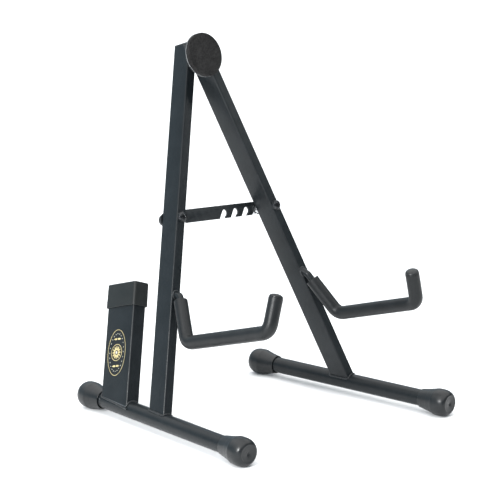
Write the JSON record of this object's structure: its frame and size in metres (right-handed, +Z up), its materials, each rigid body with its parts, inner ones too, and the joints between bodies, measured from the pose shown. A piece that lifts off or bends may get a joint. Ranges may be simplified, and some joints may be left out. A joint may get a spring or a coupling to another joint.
{
  "type": "guitar stand",
  "caption": "Folding A-frame guitar stand with padded cradle arms, notched strut, round foam back pad and rubber-tipped base tubes.",
  "frame": {"origin": "middle of the bounding box footprint, on the floor", "axes": "+Z up, -Y towards the player and the cradle arms, +X to the right seen from the front"},
  "size_m": [0.3176, 0.3264, 0.4293],
  "materials": {
    "paint": "satin black powder coat",
    "foam": "closed-cell foam, matte",
    "rubber": "satin moulded rubber",
    "plastic": "fine-grained moulded plastic",
    "zinc": "zinc plated",
    "black_steel": "black oxide",
    "nylon": "nylon",
    "gilt": "thin gilt print on clear film"
  },
  "bodies": {
    "left_frame": {"left_leg": "paint", "left_leg_plug": "plastic", "left_leg_weld": "paint", "left_base_tube": "paint", "left_front_foot": "rubber", "left_rear_foot": "rubber", "left_arm_rod": "paint", "left_arm_sleeve": "foam", "left_arm_tip": "rubber", "rear_post": "paint", "rear_post_cap": "plastic", "rear_post_weld": "paint", "post_badge": "gilt", "strut_pivot_washer": "black_steel", "strut_pivot_bolt": "black_steel", "strut_bush": "zinc", "strut_pivot_rear_washer": "black_steel", "strut_pivot_nut": "black_steel", "hinge_spacer": "nylon", "hinge_bolt": "black_steel", "hinge_nut": "zinc"},
    "right_frame": {"right_leg": "paint", "right_leg_plug": "plastic", "right_leg_weld": "paint", "right_base_tube": "paint", "right_front_foot": "rubber", "right_rear_foot": "rubber", "right_arm_rod": "paint", "right_arm_sleeve": "foam", "right_arm_tip": "rubber", "catch_washer": "black_steel", "catch_bolt": "black_steel", "catch_nut": "zinc", "catch_end_nut": "zinc", "pad_plate": "paint", "neck_pad": "foam"},
    "strut": {"strut_bar": "black_steel"}
  },
  "joints": [
    {"name": "fold", "type": "hinge", "parent": "left_frame", "child": "right_frame", "pos_m": [-0.00134, 0.10679, 0.39625], "axis": [0, 0.9655, -0.2605], "range_deg": [0, 32]},
    {"name": "strut_swing", "type": "hinge", "parent": "left_frame", "child": "strut", "pos_m": [-0.06002, 0.06136, 0.22788], "axis": [0, -0.9655, 0.2605], "range_deg": [0, 55]}
  ],
  "couplings": [
    {"joint": "strut_swing", "follows": "fold", "ratio": 1.7188}
  ]
}
